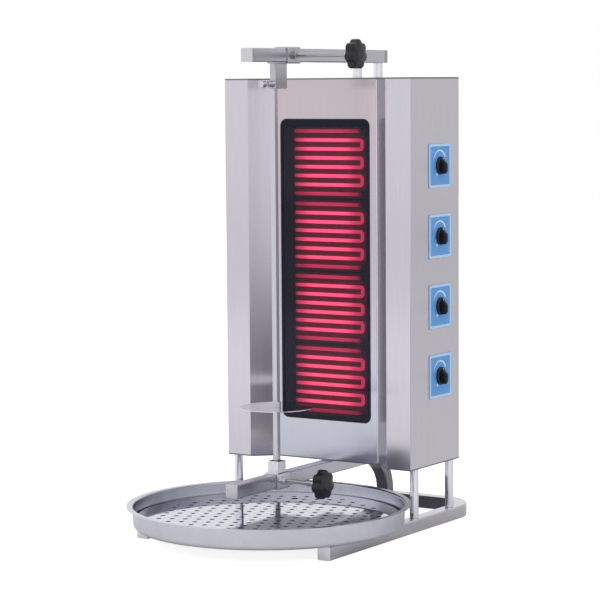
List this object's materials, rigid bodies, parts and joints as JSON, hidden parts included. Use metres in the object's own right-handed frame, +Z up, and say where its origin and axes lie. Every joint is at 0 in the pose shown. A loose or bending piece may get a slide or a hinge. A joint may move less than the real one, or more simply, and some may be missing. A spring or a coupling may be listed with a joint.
{
  "type": "doner kebab grill",
  "caption": "Upright electric grill with a turning spit in front of a glazed radiant heater cabinet, over a round drip tray with a perforated plate.",
  "frame": {"origin": "on the surface it stands on, midway between the outermost points of the part in X and Y", "axes": "+X to the side with the control knobs, -Y to the front where the cook stands, +Z up"},
  "size_m": [0.63, 0.834, 1.098],
  "materials": {
    "stainless_sheet": "grained stainless sheet",
    "stainless_tube": "grained stainless square tube",
    "stainless_machined": "machined and fine ground stainless",
    "polished_steel": "turned and polished",
    "zinc_plated_steel": "bright zinc plated",
    "pressed_stainless": "pressed stainless sheet",
    "mirror_stainless": "bright annealed stainless sheet",
    "ceramic_glass": "smooth tinted glass ceramic",
    "silicone": "matt black heat proof seal",
    "aluminised_steel": "folded aluminised sheet",
    "element_sheath": "heat proof steel sheath, shown glowing",
    "ceramic_fibre": "soft ceramic fibre board",
    "steatite": "unglazed ceramic",
    "black_phenolic": "moulded black phenolic with a soft gloss",
    "grey_polyamide": "moulded grey polyamide",
    "bronze": "sintered bearing bronze",
    "printed_aluminium": "aluminium plate printed blue with a white scale"
  },
  "bodies": {
    "stand": {"back_panel": "stainless_sheet", "base_frame": "stainless_tube", "body_posts": "polished_steel", "bottom_arm": "stainless_tube", "bottom_cover": "stainless_sheet", "cable_gland": "grey_polyamide", "dial_plate_1": "printed_aluminium", "dial_plate_2": "printed_aluminium", "dial_plate_3": "printed_aluminium", "dial_plate_4": "printed_aluminium", "element_clamps": "steatite", "front_panel": "stainless_sheet", "glass_gasket": "silicone", "glass_retainer": "pressed_stainless", "heat_regulators": "black_phenolic", "heater_element_1": "element_sheath", "heater_element_2": "element_sheath", "heater_element_3": "element_sheath", "heater_element_4": "element_sheath", "heater_rails": "zinc_plated_steel", "heater_tray_1": "aluminised_steel", "heater_tray_2": "aluminised_steel", "heater_tray_3": "aluminised_steel", "heater_tray_4": "aluminised_steel", "insulation_boards": "ceramic_fibre", "post_nuts": "zinc_plated_steel", "rear_housing": "stainless_sheet", "regulator_nuts": "zinc_plated_steel", "side_shell_left": "stainless_sheet", "side_shell_right": "stainless_sheet", "top_arm": "stainless_tube", "top_arm_cap": "grey_polyamide", "top_cover": "stainless_sheet", "top_posts": "polished_steel", "tube_end_plugs": "stainless_tube", "window_glass": "ceramic_glass"},
    "bottom_slider": {"bottom_slider": "stainless_machined", "bottom_bearing": "bronze"},
    "bottom_clamp": {"bottom_clamp_screw": "stainless_machined", "bottom_star_knob": "black_phenolic"},
    "top_slider": {"top_slider": "stainless_machined", "plunger_housing": "stainless_machined"},
    "top_clamp": {"top_clamp_screw": "stainless_machined", "top_star_knob": "black_phenolic"},
    "lock_plunger": {"lock_plunger": "stainless_machined"},
    "spit": {"spit_shaft": "stainless_machined", "disc_pin": "stainless_machined"},
    "meat_disc": {"meat_disc": "pressed_stainless"},
    "drip_tray": {"drip_tray": "pressed_stainless"},
    "perforated_plate": {"perforated_plate": "mirror_stainless"},
    "control_1": {"control_knob_1": "black_phenolic", "regulator_shaft_1": "stainless_machined"},
    "control_2": {"control_knob_2": "black_phenolic", "regulator_shaft_2": "stainless_machined"},
    "control_3": {"control_knob_3": "black_phenolic", "regulator_shaft_3": "stainless_machined"},
    "control_4": {"control_knob_4": "black_phenolic", "regulator_shaft_4": "stainless_machined"}
  },
  "joints": [
    {"name": "bottom_slide", "type": "slide", "parent": "stand", "child": "bottom_slider", "axis": [0, 1, 0], "range_m": [-0.13, 0.11]},
    {"name": "bottom_clamp_turn", "type": "hinge", "parent": "bottom_slider", "child": "bottom_clamp", "pos_m": [0.11, -0.068, 0.125], "axis": [1, 0, 0], "range_deg": [0, 540]},
    {"name": "top_slide", "type": "slide", "parent": "stand", "child": "top_slider", "axis": [0, 1, 0], "range_m": [-0.13, 0.11]},
    {"name": "top_clamp_turn", "type": "hinge", "parent": "top_slider", "child": "top_clamp", "pos_m": [0.16, -0.012, 1.065], "axis": [1, 0, 0], "range_deg": [0, 540]},
    {"name": "plunger_pull", "type": "slide", "parent": "top_slider", "child": "lock_plunger", "axis": [0, -1, 0], "range_m": [0, 0.008], "stiffness_N_per_m": 900, "springref_m": -0.008},
    {"name": "spit_turn", "type": "hinge", "parent": "bottom_slider", "child": "spit", "pos_m": [0, -0.068, 0.16], "axis": [0, 0, 1], "continuous": true},
    {"name": "disc_lift", "type": "slide", "parent": "spit", "child": "meat_disc", "axis": [0, 0, 1], "range_m": [0, 0.685]},
    {"name": "tray_slide", "type": "slide", "parent": "stand", "child": "drip_tray", "axis": [0, -1, 0], "range_m": [0, 0.14]},
    {"name": "plate_lift", "type": "slide", "parent": "drip_tray", "child": "perforated_plate", "axis": [0, 0, 1], "range_m": [0, 0.038]},
    {"name": "control_1_turn", "type": "hinge", "parent": "stand", "child": "control_1", "pos_m": [0.26, 0.231, 0.3415], "axis": [-1, 0, 0], "range_deg": [-120, 90]},
    {"name": "control_2_turn", "type": "hinge", "parent": "stand", "child": "control_2", "pos_m": [0.26, 0.231, 0.5], "axis": [-1, 0, 0], "range_deg": [-120, 90]},
    {"name": "control_3_turn", "type": "hinge", "parent": "stand", "child": "control_3", "pos_m": [0.26, 0.231, 0.6585], "axis": [-1, 0, 0], "range_deg": [-120, 90]},
    {"name": "control_4_turn", "type": "hinge", "parent": "stand", "child": "control_4", "pos_m": [0.26, 0.231, 0.817], "axis": [-1, 0, 0], "range_deg": [-120, 90]}
  ],
  "couplings": [
    {"joint": "top_slide", "follows": "bottom_slide", "ratio": 1}
  ]
}
